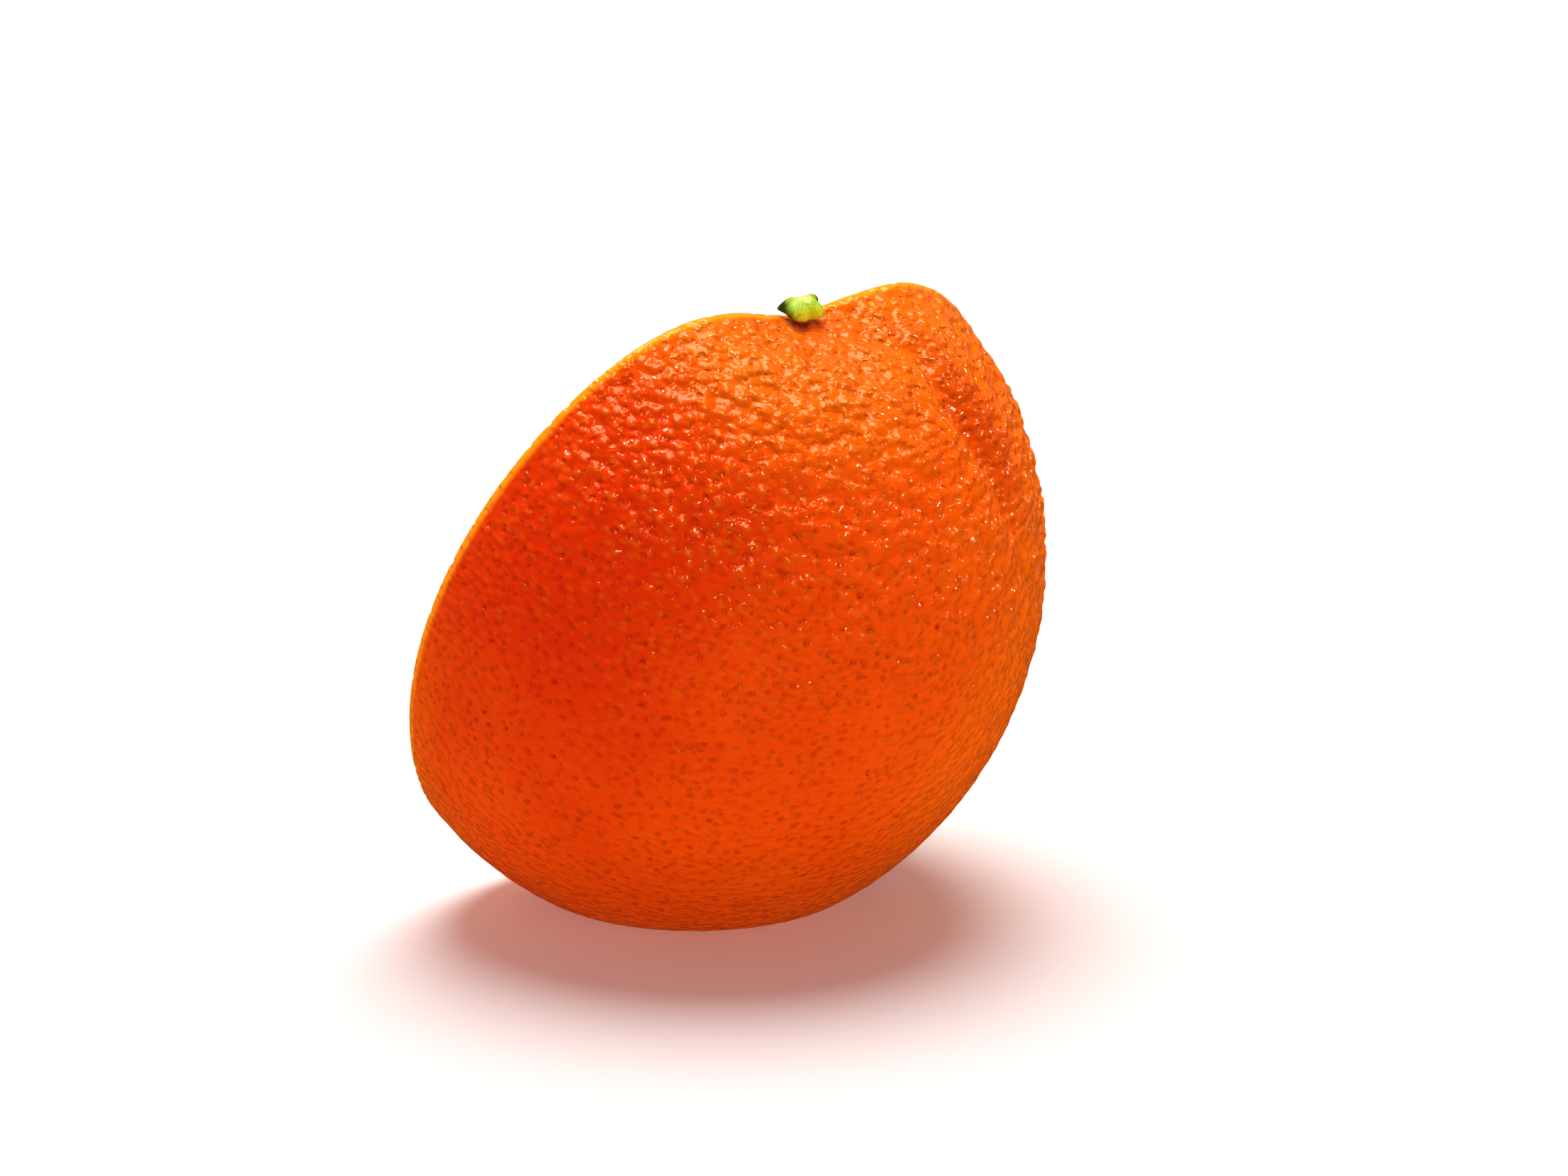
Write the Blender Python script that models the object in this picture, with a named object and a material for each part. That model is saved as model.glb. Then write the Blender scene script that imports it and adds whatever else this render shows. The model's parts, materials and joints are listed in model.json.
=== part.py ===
"""Half an orange, cut through its stem, resting on its rind with the cut face leaning back.

Metres, +Z up. X runs along the cut, the cut face looks to +Y and up, and the rind bulges to -Y.
The origin is under the middle of the half, on the surface that it rests on. In the fruit's own
frame, which the parent empty carries, +Z is the core from blossom end to stem, the origin is
the fruit's centre and the cut is the plane y = 0.
"""

import math

import bmesh
import bpy
from mathutils import Euler, Vector

# The half fruit's size before its swellings, and how it lies
WIDTH = 0.0760  # along the cut
TALL = 0.0800  # along the core
THICK = 0.0392  # from the cut to the back of the rind
TIP = math.radians(30.9)  # how far the cut face leans back from upright
LEAN = math.radians(-5.7)  # how far the core leans sideways, along the cut
PRESSED = 0.0035  # how much of the lowest skin is flattened by the fruit's weight

# Swellings of the skin. An angle is measured from the stem, at the fruit's centre.
SHOULDER_RISE = 0.0027  # the ring round the stem
SHOULDER_AT = 0.431
SHOULDER_SPREAD = 0.655
CAVITY_DEPTH = 0.0048  # the hollow that the stem sits in
CAVITY_SPREAD = 0.30
BELLY_RISE = 0.0025  # the heavy end
BELLY_AT = 2.5
BELLY_SPREAD = 0.50
LOPSIDED = 0.0008  # how much fuller the fruit is on its -X cheek

# Calyx, the green button that holds the stalk
CALYX_ACROSS = 0.0062
CALYX_LOBES = 5
CALYX_NOTCH = 0.26  # share of the calyx's radius that the bays between its lobes cut away
CALYX_RIM = 0.0007  # thickness at its rim
CALYX_CROWN = 0.0009  # extra height where the lobes meet
SCAR_ACROSS = 0.0024  # where the stalk came away
SCAR_DEEP = 0.0005
SCAR_EDGE = 0.00012  # width over which the scar's edge rounds over
CLEARANCE = 0.0003  # between the calyx and the skin

# Facets
PROFILE_STEPS = 44
SPIN_STEPS = 40
CALYX_RINGS = 7
CALYX_STEPS = 20

STEM = Vector((0.0, 0.0, 1.0))
RESTING = Euler((TIP, LEAN, 0.0), "YXZ")


def bump(angle, centre, spread):
    """A smooth swelling, 1 at its centre."""
    return math.exp(-(((angle - centre) / spread) ** 2))


def skin(way):
    """The point of the skin in a direction, a unit vector, from the fruit's centre."""
    theta = math.atan2(math.hypot(way.x, way.y), way.z)
    rise = SHOULDER_RISE * bump(theta, SHOULDER_AT, SHOULDER_SPREAD)
    rise += BELLY_RISE * bump(theta, BELLY_AT, BELLY_SPREAD)
    rise -= CAVITY_DEPTH * bump(theta, 0.0, CAVITY_SPREAD)
    rise -= LOPSIDED * way.x
    grown = 1.0 + rise / (TALL / 2)
    return Vector((way.x * WIDTH / 2, way.y * THICK, way.z * TALL / 2)) * grown


def clear_scene():
    for obj in list(bpy.data.objects):
        bpy.data.objects.remove(obj, do_unlink=True)


def material(name, colour, roughness):
    made = bpy.data.materials.new(name)
    made.use_nodes = True
    shader = made.node_tree.nodes["Principled BSDF"]
    shader.inputs["Base Color"].default_value = (*colour, 1.0)
    shader.inputs["Roughness"].default_value = roughness
    shader.inputs["Metallic"].default_value = 0.0
    return made


def finished(name, shape, finish, parent):
    """Turns a closed bmesh into an object with its own material, smooth but for its cut edges."""
    bmesh.ops.recalc_face_normals(shape, faces=shape.faces)
    mesh = bpy.data.meshes.new(name)
    shape.to_mesh(mesh)
    shape.free()
    mesh.materials.append(finish)
    mesh.shade_smooth()
    mesh.set_sharp_from_angle(angle=math.radians(35.0))
    obj = bpy.data.objects.new(name, mesh)
    obj.parent = parent
    bpy.context.scene.collection.objects.link(obj)
    return obj


def half_orange(parent):
    """An arc spun half a turn round the core and grown to the skin, cut flat where it rests."""
    shape = bmesh.new()
    arc = []
    for step in range(PROFILE_STEPS + 1):
        theta = math.pi * step / PROFILE_STEPS
        arc.append(shape.verts.new((math.sin(theta), 0.0, math.cos(theta))))
    edges = [shape.edges.new(pair) for pair in zip(arc, arc[1:])]
    bmesh.ops.spin(shape, geom=arc + edges, cent=(0, 0, 0), axis=STEM,
                   angle=-math.pi, steps=SPIN_STEPS)
    bmesh.ops.remove_doubles(shape, verts=shape.verts, dist=1e-5)
    for vert in shape.verts:
        vert.co = skin(vert.co.normalized())
        if abs(vert.co.y) < 1e-6:
            vert.co.y = 0.0
    bmesh.ops.holes_fill(shape, edges=shape.edges, sides=0)

    down = RESTING.to_matrix().inverted() @ Vector((0, 0, -1))
    lowest = max(down.dot(vert.co) for vert in shape.verts)
    everything = shape.verts[:] + shape.edges[:] + shape.faces[:]
    bmesh.ops.bisect_plane(shape, geom=everything, dist=1e-6, clear_outer=True,
                           plane_co=down * (lowest - PRESSED), plane_no=down)
    bmesh.ops.holes_fill(shape, edges=shape.edges, sides=0)
    peel = material("peel", (0.80, 0.16, 0.01), 0.35)
    return finished("half_orange", shape, peel, parent)


def calyx_height(out):
    """Thickness of the calyx at a share of the way out from its middle to its rim."""
    past_scar = out * CALYX_ACROSS / 2 - SCAR_ACROSS / 2
    scar = SCAR_DEEP / (1.0 + math.exp(past_scar / SCAR_EDGE))
    return CALYX_RIM + CALYX_CROWN * (1.0 - out ** 2) - scar


def calyx_foot(out, turn):
    """A point of the calyx's underside, a clearance above the skin of the stem cavity."""
    bay = math.cos(CALYX_LOBES * (turn + math.pi / 2) / 2) ** 4
    reach = out * CALYX_ACROSS / 2 * (1.0 - CALYX_NOTCH * out * bay)
    down = math.atan2(reach, skin(STEM).z)
    way = Vector((math.sin(down) * math.cos(turn), math.sin(down) * math.sin(turn), math.cos(down)))
    foot = skin(way) + STEM * CLEARANCE
    if abs(foot.y) < 1e-6:
        foot.y = 0.0
    return foot


def calyx(parent):
    """Half of the five-lobed button: its underside is drawn in rings, then raised to its top."""
    shape = bmesh.new()
    middle = shape.verts.new(calyx_foot(0.0, 0.0))
    height = {middle.co.to_tuple(): calyx_height(0.0)}
    rings = []
    for ring in range(1, CALYX_RINGS + 1):
        out = ring / CALYX_RINGS
        turns = [-math.pi * step / CALYX_STEPS for step in range(CALYX_STEPS + 1)]
        rings.append([shape.verts.new(calyx_foot(out, turn)) for turn in turns])
        height.update({vert.co.to_tuple(): calyx_height(out) for vert in rings[-1]})
    for step in range(CALYX_STEPS):
        shape.faces.new((middle, rings[0][step], rings[0][step + 1]))
        for inner, outer in zip(rings, rings[1:]):
            shape.faces.new((inner[step], outer[step], outer[step + 1], inner[step + 1]))
    raised = bmesh.ops.extrude_face_region(shape, geom=shape.faces[:], use_keep_orig=True)
    for vert in [item for item in raised["geom"] if isinstance(item, bmesh.types.BMVert)]:
        vert.co += STEM * height[vert.co.to_tuple()]
    green = material("calyx", (0.10, 0.28, 0.02), 0.45)
    return finished("calyx", shape, green, parent)


def rest_on_ground(parent, half):
    """Turns the fruit to how it lies, and puts the origin under the middle of the half."""
    parent.rotation_mode = RESTING.order
    parent.rotation_euler = RESTING
    turned = [RESTING.to_matrix() @ vert.co for vert in half.data.vertices]
    low = [min(point[axis] for point in turned) for axis in range(3)]
    high = [max(point[axis] for point in turned) for axis in range(3)]
    parent.location = (-(low[0] + high[0]) / 2, -(low[1] + high[1]) / 2, -low[2])


clear_scene()
fruit = bpy.data.objects.new("fruit", None)
bpy.context.scene.collection.objects.link(fruit)
half = half_orange(fruit)
calyx(fruit)
rest_on_ground(fruit, half)
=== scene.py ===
# %% [markdown]
# # Half an orange, resting on its rind
#
# An orange has an oily orange skin (the zest), a spongy pale rind under it (the pith), and
# segments packed with juice sacs round a pale core. This script dresses a plain solid of half
# an orange: it replaces the solid with a fine skin full of oil glands, a pale pith, sliced
# juice sacs and a small green calyx, all in the solid's own frame.

# %% Load the frame
import json
import math

import bmesh
import bpy
import numpy as np
from mathutils import Euler, Matrix, Vector
from mathutils.geometry import delaunay_2d_cdt


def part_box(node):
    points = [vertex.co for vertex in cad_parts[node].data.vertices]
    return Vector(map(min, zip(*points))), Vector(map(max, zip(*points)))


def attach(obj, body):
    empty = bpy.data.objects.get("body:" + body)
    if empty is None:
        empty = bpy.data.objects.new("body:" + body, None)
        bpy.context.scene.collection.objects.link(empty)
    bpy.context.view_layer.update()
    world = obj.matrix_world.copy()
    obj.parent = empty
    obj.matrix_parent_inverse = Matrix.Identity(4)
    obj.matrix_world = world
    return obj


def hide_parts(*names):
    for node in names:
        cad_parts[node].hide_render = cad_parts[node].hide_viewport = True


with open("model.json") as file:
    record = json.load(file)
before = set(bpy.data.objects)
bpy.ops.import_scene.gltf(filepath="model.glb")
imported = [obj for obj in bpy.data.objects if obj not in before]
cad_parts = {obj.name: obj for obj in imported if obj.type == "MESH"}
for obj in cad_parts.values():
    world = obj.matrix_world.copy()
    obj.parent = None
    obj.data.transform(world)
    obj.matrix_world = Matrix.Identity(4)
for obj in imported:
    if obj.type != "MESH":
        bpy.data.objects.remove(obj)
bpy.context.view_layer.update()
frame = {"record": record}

solid_low, solid_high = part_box("half_orange")
print("solid half, mm:", [round(1000 * size, 1) for size in solid_high - solid_low])

# %% [markdown]
# ## The fruit's own frame
#
# Patterns on a fruit follow its core, not the table. So the shape is worked out in a frame
# where +Z is the core from blossom end to stem and the knife went through y = 0, and only then
# turned to how the half lies. The tip of the cut face is read from the solid's mount, so the
# two can't disagree.

# %% How the half lies
cut_mount = next(mount for mount in frame["record"]["mounts"] if mount["name"] == "cut_face")
CUT_NORMAL = Vector(cut_mount["axis"]).normalized()
TIP = math.atan2(CUT_NORMAL.z, CUT_NORMAL.y)
LEAN = math.radians(-5.7)
RESTING = Euler((TIP, LEAN, 0.0), "YXZ").to_matrix()
print("cut face tipped back", round(math.degrees(TIP), 1), "degrees")

# %% [markdown]
# ## The shape of the skin
#
# An orange is nearly a sphere, swollen round the stem, hollowed where the stem sits, and fuller
# at the heavy end. Each of those is one smooth bump of the distance from the centre, so one
# short formula gives the whole skin. It could be sculpted by hand, but a formula can be asked
# for any point, which is how the rind, the pith and the calyx all stay in step.

# %% Sizes of the skin, in metres and radians from the stem
WIDTH = 0.0760
TALL = 0.0800
THICK = 0.0392
PRESSED = 0.0035
SHOULDER = (0.0027, 0.431, 0.655)
BELLY = (0.0025, 2.5, 0.50)
CAVITY = (-0.0048, 0.0, 0.30)
LOPSIDED = 0.0008


def bump(angle, centre, spread):
    """A smooth swelling, 1 at its centre."""
    return np.exp(-(((angle - centre) / spread) ** 2))


def from_stem(ways):
    """The angle of each direction from the stem, and its turn round the core, in radians."""
    return np.arctan2(np.hypot(ways[:, 0], ways[:, 1]), ways[:, 2]), np.arctan2(ways[:, 1], ways[:, 0])


def skin(ways):
    """Points of the skin in the directions given, one row each, in the fruit's own frame."""
    theta, _ = from_stem(ways)
    rise = -LOPSIDED * ways[:, 0]
    for height, centre, spread in (SHOULDER, BELLY, CAVITY):
        rise = rise + height * bump(theta, centre, spread)
    grown = 1.0 + rise / (TALL / 2)
    return ways * (WIDTH / 2, THICK, TALL / 2) * grown[:, None]


# %% [markdown]
# The finest even grid for a ball is a cube blown up to a sphere: no crowded poles. Only the
# five sides that reach below y = 0 are used, four of them by half, so that a row of the grid
# lies exactly along the cut.


# %% An even grid over half a ball
def half_ball(steps):
    """Unit directions and quads over the y <= 0 half, steps cells along each side of the cube."""
    full = np.linspace(-math.pi / 4, math.pi / 4, steps + 1)
    part = full[: steps // 2 + 1]
    sides = [(full, full, lambda a, b: (a, -1 + 0 * a, b))]
    for end in (-1, 1):
        sides.append((part, full, lambda a, b, end=end: (end + 0 * a, a, b)))
        sides.append((part, full, lambda a, b, end=end: (b, a, end + 0 * a)))
    points, quads = [], []
    for along, across, place in sides:
        a, b = np.meshgrid(np.tan(along), np.tan(across), indexing="ij")
        grid = np.stack(place(a, b), axis=-1)
        index = np.arange(grid[..., 0].size).reshape(grid.shape[:2]) + sum(map(len, points))
        corners = (index[:-1, :-1], index[1:, :-1], index[1:, 1:], index[:-1, 1:])
        quads.append(np.stack(corners, axis=-1).reshape(-1, 4))
        points.append(grid.reshape(-1, 3))
    points, quads = np.vstack(points), np.vstack(quads)
    points /= np.linalg.norm(points, axis=1)[:, None]
    _, first, same = np.unique(points.round(7), axis=0, return_index=True, return_inverse=True)
    points, quads = points[first], same.reshape(-1)[quads]
    corner = points[quads]
    facing = np.cross(corner[:, 2] - corner[:, 0], corner[:, 3] - corner[:, 1])
    inward = (facing * corner.mean(axis=1)).sum(axis=1) < 0
    quads[inward] = quads[inward][:, ::-1]
    return points, quads


# %% Where the fruit's centre is
coarse_ways, _ = half_ball(120)
turned = skin(coarse_ways) @ np.array(RESTING).T
low, high = turned.min(axis=0), turned.max(axis=0)
CENTRE = Vector((-(low[0] + high[0]) / 2, -(low[1] + high[1]) / 2, -low[2] - PRESSED))
PLACE = Matrix.Translation(CENTRE) @ RESTING.to_4x4()
print("fruit's centre, mm:", [round(1000 * value, 2) for value in CENTRE])
print("skin against solid, mm:", (1000 * (high[:2] - low[:2] - (solid_high - solid_low)[:2])).round(3))


# %% [markdown]
# ## Small helpers
#
# A finished piece sits at the origin with its place in its mesh, so a pattern that reads
# Object coordinates doesn't slide. Materials turn those coordinates back into the fruit's own
# frame with a Mapping node of type Texture, which undoes a location and a rotation.


# %% Making and finishing pieces
def piece_from(name, points, faces, material=None):
    """A mesh object from points in the fruit's own frame, moved to where the fruit lies."""
    mesh = bpy.data.meshes.new(name)
    mesh.from_pydata([tuple(point) for point in points], [], [tuple(face) for face in faces])
    mesh.transform(PLACE)
    mesh.shade_smooth()
    if material:
        mesh.materials.append(material)
    made = bpy.data.objects.new(name, mesh)
    bpy.context.scene.collection.objects.link(made)
    return made


def keep_on_points(made, name, values):
    """Stores one number or vector for each point of a mesh, for its nodes to read."""
    kind, word = ("FLOAT", "value") if values.ndim == 1 else ("FLOAT_VECTOR", "vector")
    field = made.data.attributes.new(name, kind, "POINT")
    field.data.foreach_set(word, np.ravel(values))


def grown_by(made, tree, **settings):
    """Runs a Geometry Nodes tree on a piece and keeps its result as a plain mesh."""
    step = made.modifiers.new(tree.name, "NODES")
    step.node_group = tree
    sockets = [item for item in tree.interface.items_tree if item.in_out == "INPUT"]
    for socket in sockets:
        word = socket.name.lower().replace(" ", "_")
        if word in settings:
            step[socket.identifier] = settings[word]
    seen = made.evaluated_get(bpy.context.evaluated_depsgraph_get())
    mesh = bpy.data.meshes.new_from_object(seen)
    made.modifiers.remove(step)
    made.data = mesh
    print(made.name, "has", sum(len(face.vertices) - 2 for face in mesh.polygons), "triangles")
    return made


# %% Building node trees
def add_node(tree, kind, settings=None, **sockets):
    """A node with its settings and unlinked inputs; an input given as a socket is linked."""
    made = tree.nodes.new(kind)
    for name, value in (settings or {}).items():
        setattr(made, name, value)
    for name, value in sockets.items():
        wanted = name.replace("_", " ")
        place = int(name[1:]) if name[0] == "_" else next(
            number for number, socket in enumerate(made.inputs)
            if socket.name.lower() == wanted and socket.enabled)
        if isinstance(value, bpy.types.NodeSocket):
            tree.links.new(value, made.inputs[place])
        else:
            made.inputs[place].default_value = value
    return made


def maths(tree, operation, *values):
    """One Math node, in either kind of tree; values are numbers or sockets."""
    places = {f"_{number}": value for number, value in enumerate(values)}
    return add_node(tree, "ShaderNodeMath", {"operation": operation}, **places).outputs[0]


def times(tree, first, second):
    return maths(tree, "MULTIPLY", first, second)


def vectors(tree, operation, *values):
    """One Vector Math node: its number for a length, distance or dot product, else its vector."""
    places = {f"_{number}": value for number, value in enumerate(values)}
    made = add_node(tree, "ShaderNodeVectorMath", {"operation": operation}, **places)
    return made.outputs["Value" if operation in ("LENGTH", "DISTANCE", "DOT_PRODUCT") else "Vector"]


def parts(tree, vector):
    """The three numbers of a vector."""
    return add_node(tree, "ShaderNodeSeparateXYZ", vector=vector).outputs


def kept(tree, name, kind="FLOAT"):
    """A value stored on the mesh, in a tree that changes the mesh."""
    return add_node(tree, "GeometryNodeInputNamedAttribute", {"data_type": kind}, name=name).outputs[0]


def shown_by(tree, name):
    """A value stored on the mesh, in a material."""
    return add_node(tree, "ShaderNodeAttribute", {"attribute_name": name}).outputs["Fac"]


def between(tree, value, low, high, start=0.0, end=1.0):
    """A smooth step of a value, from start at low to end at high."""
    made = add_node(tree, "ShaderNodeMapRange", {"interpolation_type": "SMOOTHSTEP"},
                    value=value, from_min=low, from_max=high, to_min=start, to_max=end)
    return made.outputs[0]


def new_growth(name, **inputs):
    """An empty Geometry Nodes tree with named inputs, its input node and its output node."""
    tree = bpy.data.node_groups.new(name, "GeometryNodeTree")
    tree.interface.new_socket("Geometry", in_out="OUTPUT", socket_type="NodeSocketGeometry")
    tree.interface.new_socket("Geometry", in_out="INPUT", socket_type="NodeSocketGeometry")
    kinds = {float: "Float", int: "Int", str: "Material"}
    for label, value in inputs.items():
        title = label.replace("_", " ").title()
        kind = "NodeSocket" + kinds[type(value)]
        socket = tree.interface.new_socket(title, in_out="INPUT", socket_type=kind)
        if kind != "NodeSocketMaterial":
            socket.default_value = value
    return tree, tree.nodes.new("NodeGroupInput").outputs, tree.nodes.new("NodeGroupOutput").inputs


# %% [markdown]
# ## Finishes
#
# Every finish is a Principled shader with a procedural pattern. Orange skin is a thin waxy
# layer over oily flesh: light goes a little way in and comes back redder, so it gets some
# subsurface. Its gloss is fairly sharp, but the pebbles break it up into small glints, which
# the wax tints towards orange.


# %% A finish to start from
def new_finish(name, **sockets):
    """A material, its tree and shader, and the shaded point in the fruit's own frame."""
    finish = bpy.data.materials.new(name)
    finish.use_nodes = True
    tree = finish.node_tree
    shader = tree.nodes["Principled BSDF"]
    for label, value in sockets.items():
        shader.inputs[label.replace("_", " ").title().replace("Ior", "IOR")].default_value = value
    place = add_node(tree, "ShaderNodeTexCoord").outputs["Object"]
    own = add_node(tree, "ShaderNodeMapping", {"vector_type": "TEXTURE"}, vector=place,
                   location=CENTRE, rotation=RESTING.to_euler("XYZ"))
    return finish, tree, shader, own.outputs[0]


def raise_surface(tree, shader, strength, distance, height):
    """Adds relief too fine for the mesh to a finish."""
    relief = add_node(tree, "ShaderNodeBump", strength=strength, distance=distance, height=height)
    tree.links.new(relief.outputs[0], shader.inputs["Normal"])


def colour_mix(tree, share, first, second):
    """A mix of two colours, each a colour or a socket."""
    made = add_node(tree, "ShaderNodeMix", {"data_type": "RGBA"})
    for place, value in ((0, share), (6, first), (7, second)):
        if isinstance(value, bpy.types.NodeSocket):
            tree.links.new(value, made.inputs[place])
        else:
            made.inputs[place].default_value = value if place == 0 else (*value, 1.0)
    return made.outputs[2]


def noise(tree, place, size, detail=2.0, distortion=0.0):
    """Noise with features about size metres across, from 0 to 1."""
    made = add_node(tree, "ShaderNodeTexNoise", vector=place, scale=1.0 / size,
                    detail=detail, distortion=distortion)
    return made.outputs[0]


# %% [markdown]
# An orange is never one colour. This one is mottled, yellower round the stem, with a dark spot
# at oil glands and pores and a bright yellow edge where the knife thinned the rind. On top of
# that goes painted shade and light: redder round one cheek and paler far from it, red beyond the
# furrow and pale on the ridge before it, pale on the crests of the pebbles, pale by the cut lower
# down as if light shone through the thin rind, and the yellow edge is partly painted light too.
# Each of those is one mix in a chain, so any one can be changed without the others.

# %% Skin finish
SKIN_ORANGE = (0.82, 0.094, 0.002)
SKIN_RED = (0.63, 0.033, 0.001)
# the pale orange is painted light: far from the shaded cheek, and by the cut lower down
SKIN_LIT_PALE = (0.90, 0.180, 0.003)
# the stem yellow is the skin's own colour round the stem, and also the painted highlight on pebble
# crests and on the ridge before the furrow
STEM_AND_HIGHLIGHT_YELLOW = (0.70, 0.150, 0.004)
GLAND_RED = (0.22, 0.005, 0.001)
# the furrow red is painted shade past the furrow
FURROW_SHADE_RED = (0.42, 0.016, 0.001)
# the edge yellow is partly the rind's own colour at the cut and partly painted light through the thin
# edge
EDGE_YELLOW = (0.92, 0.29, 0.006)
SKIN_GLINT = (1.0, 0.77, 0.38)
# the reddest place below is the middle of a painted shade; far from it the skin is painted pale as
# light
SHADED_CHEEK = (-0.030, -0.012, 0.017)  # the reddest place, in the fruit's own frame
BLOTCH_SIZE, BLOTCH_REACH = 0.018, 0.022
MOTTLE_SIZE, MOTTLE_SHARE = 0.0022, 0.36
GLAND_SPACING = 0.0014
PORE_SPACING = 0.0011
PEBBLE_SPACING = 0.0014
GRAIN_SIZE = 0.0006
RELIEF_HEIGHT = 0.00055
FLATTENED = (1.0, 1.0, 1.6)  # pebbles are wider round the core than along it


def skin_colour(tree, own, level, cobbles, rough, pore):
    """Mixes the skin's colour, with painted shade and light; own is the shaded point, level the same
    with its height stretched.
    """
    apart = parts(tree, own)
    # Painted shade and light: redder round one cheek, orange further off and pale far from it, for how
    # the light falls; the mottle is the skin's own uneven tone.
    wander = times(tree, noise(tree, own, BLOTCH_SIZE, 3.0), BLOTCH_REACH)
    far = maths(tree, "ADD", vectors(tree, "DISTANCE", own, SHADED_CHEEK), wander)
    mottle = times(tree, noise(tree, level, MOTTLE_SIZE, 3.0), MOTTLE_SHARE)
    shade_and_mottle = maths(tree, "ADD", between(tree, far, 0.016, 0.048),
                 maths(tree, "SUBTRACT", mottle, MOTTLE_SHARE / 2))
    colour = colour_mix(tree, shade_and_mottle, SKIN_RED, SKIN_ORANGE)
    colour = colour_mix(tree, between(tree, far, 0.044, 0.070, 0.0, 0.95), colour, SKIN_LIT_PALE)
    # Painted highlight: the crests of the pebbles are painted paler, as if lit from above.
    lit_crest = times(tree, between(tree, cobbles, 0.12, 0.50, 0.50, 0.0), rough)
    colour = colour_mix(tree, lit_crest, colour, STEM_AND_HIGHLIGHT_YELLOW)
    # Painted light: by the cut, lower down, the skin is painted paler, as if light shone through the
    # thin rind.
    glow_through = between(tree, apart[1], -0.007, -0.001, 0.0, 0.50)
    glow_through = times(tree, glow_through, between(tree, apart[2], 0.010, -0.016))
    colour = colour_mix(tree, glow_through, colour, SKIN_LIT_PALE)
    stem = between(tree, maths(tree, "ADD", apart[2], times(tree, wander, 0.3)),
                   0.036, 0.045)
    colour = colour_mix(tree, stem, colour, STEM_AND_HIGHLIGHT_YELLOW)
    # Painted shade in red past the furrow, and a painted highlight in yellow on the ridge before it.
    furrow = shown_by(tree, "furrow")
    colour = colour_mix(tree, between(tree, furrow, 0.1, 1.0, 0.0, 0.46), colour, FURROW_SHADE_RED)
    colour = colour_mix(tree, between(tree, furrow, -0.1, -1.0, 0.0, 0.40), colour, STEM_AND_HIGHLIGHT_YELLOW)
    gland = shown_by(tree, "gland")
    shown = between(tree, noise(tree, own, 0.005, 2.0), 0.38, 0.66, 0.03, 0.36)
    shown = times(tree, shown, between(tree, apart[2], 0.010, 0.032, 1.0, 0.35))
    colour = colour_mix(tree, times(tree, gland, shown), colour, GLAND_RED)
    colour = colour_mix(tree, times(tree, pore, 0.13), colour, GLAND_RED)
    # The yellow edge by the cut is partly the rind's own colour there and partly painted light shining
    # through the thin edge.
    return colour_mix(tree, between(tree, apart[1], -0.0013, -0.0005), colour, EDGE_YELLOW)


def skin_finish():
    finish, tree, shader, own = new_finish(
        "orange_skin", roughness=0.16, subsurface_weight=0.08, subsurface_scale=0.002, ior=1.40,
        subsurface_radius=(1.0, 0.25, 0.05), specular_tint=(*SKIN_GLINT, 1.0))
    level = vectors(tree, "MULTIPLY", own, FLATTENED)
    rough = shown_by(tree, "rough")
    cobbles = add_node(tree, "ShaderNodeTexVoronoi", {"feature": "SMOOTH_F1"}, vector=level,
                       scale=1 / PEBBLE_SPACING, smoothness=0.35).outputs["Distance"]
    pores = add_node(tree, "ShaderNodeTexVoronoi", vector=own, scale=1 / PORE_SPACING)
    pore = between(tree, pores.outputs["Distance"], 0.12, 0.36, 1.0, 0.0)
    colour = skin_colour(tree, own, level, cobbles, rough, pore)
    tree.links.new(colour, shader.inputs["Base Color"])
    crown = times(tree, maths(tree, "SUBTRACT", 0.6, cobbles),
                  maths(tree, "ADD", rough, 0.15))
    grain = times(tree, noise(tree, own, GRAIN_SIZE, 2.0), 0.05)
    height = maths(tree, "SUBTRACT", maths(tree, "ADD", crown, grain),
                   times(tree, pore, 0.28))
    raise_surface(tree, shader, 1.0, RELIEF_HEIGHT, height)
    return finish


orange_skin = skin_finish()

# %% [markdown]
# ## The peel
#
# The skin comes from the formula, with one thing that grew only on this fruit: a furrow down
# one shoulder, where the fruit swelled as two lobes. The cut edge is turned over by a fraction
# of a millimetre, as a knife leaves it, and behind it the zest is a band 1.2 mm thick. The
# piece is closed by a step down to a flat floor, just behind the back of the pith.
#
# Oil glands could be painted, but they catch the light, so they are pits in the mesh. A tree
# of nodes scatters points over the skin no closer than the gland spacing and sinks the skin
# round each one, then adds pebbles and ridges, strongest towards the stem and on one side.

# %% Lobes and furrow
FURROW_TURN = math.radians(-62)
FURROW_WIDE = 0.052
FURROW_DEEP = 0.0012
FURROW_REACH = 0.13
FOLD_DEEP = 0.00016
FOLDS = 9


def beside_furrow(ways):
    """How far past the furrow each direction lies, and the furrow's strength there, 0 to 1."""
    theta, turn = from_stem(ways)
    path = FURROW_TURN + 0.22 * bump(theta, 0.33, 0.10)
    return (turn - path) * np.sin(theta), bump(theta, 0.58, 0.36)


def grooved(ways, points):
    """Sinks the furrow of one shoulder, and shallow folds round the stem, into the skin."""
    theta, turn = from_stem(ways)
    across, strength = beside_furrow(ways)
    groove = bump(across, 0.0, FURROW_WIDE)
    step = 0.5 * (1 + np.tanh(across / FURROW_WIDE)) * bump(across, 0.0, FURROW_REACH)
    folds = FOLD_DEEP * bump(theta, 0.24, 0.10) * (1 + np.cos(FOLDS * turn + 2 * np.sin(3 * turn)))
    sink = FURROW_DEEP * strength * (1.05 * groove + step) + folds
    return points * (1 - sink / np.linalg.norm(points, axis=1))[:, None]


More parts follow.
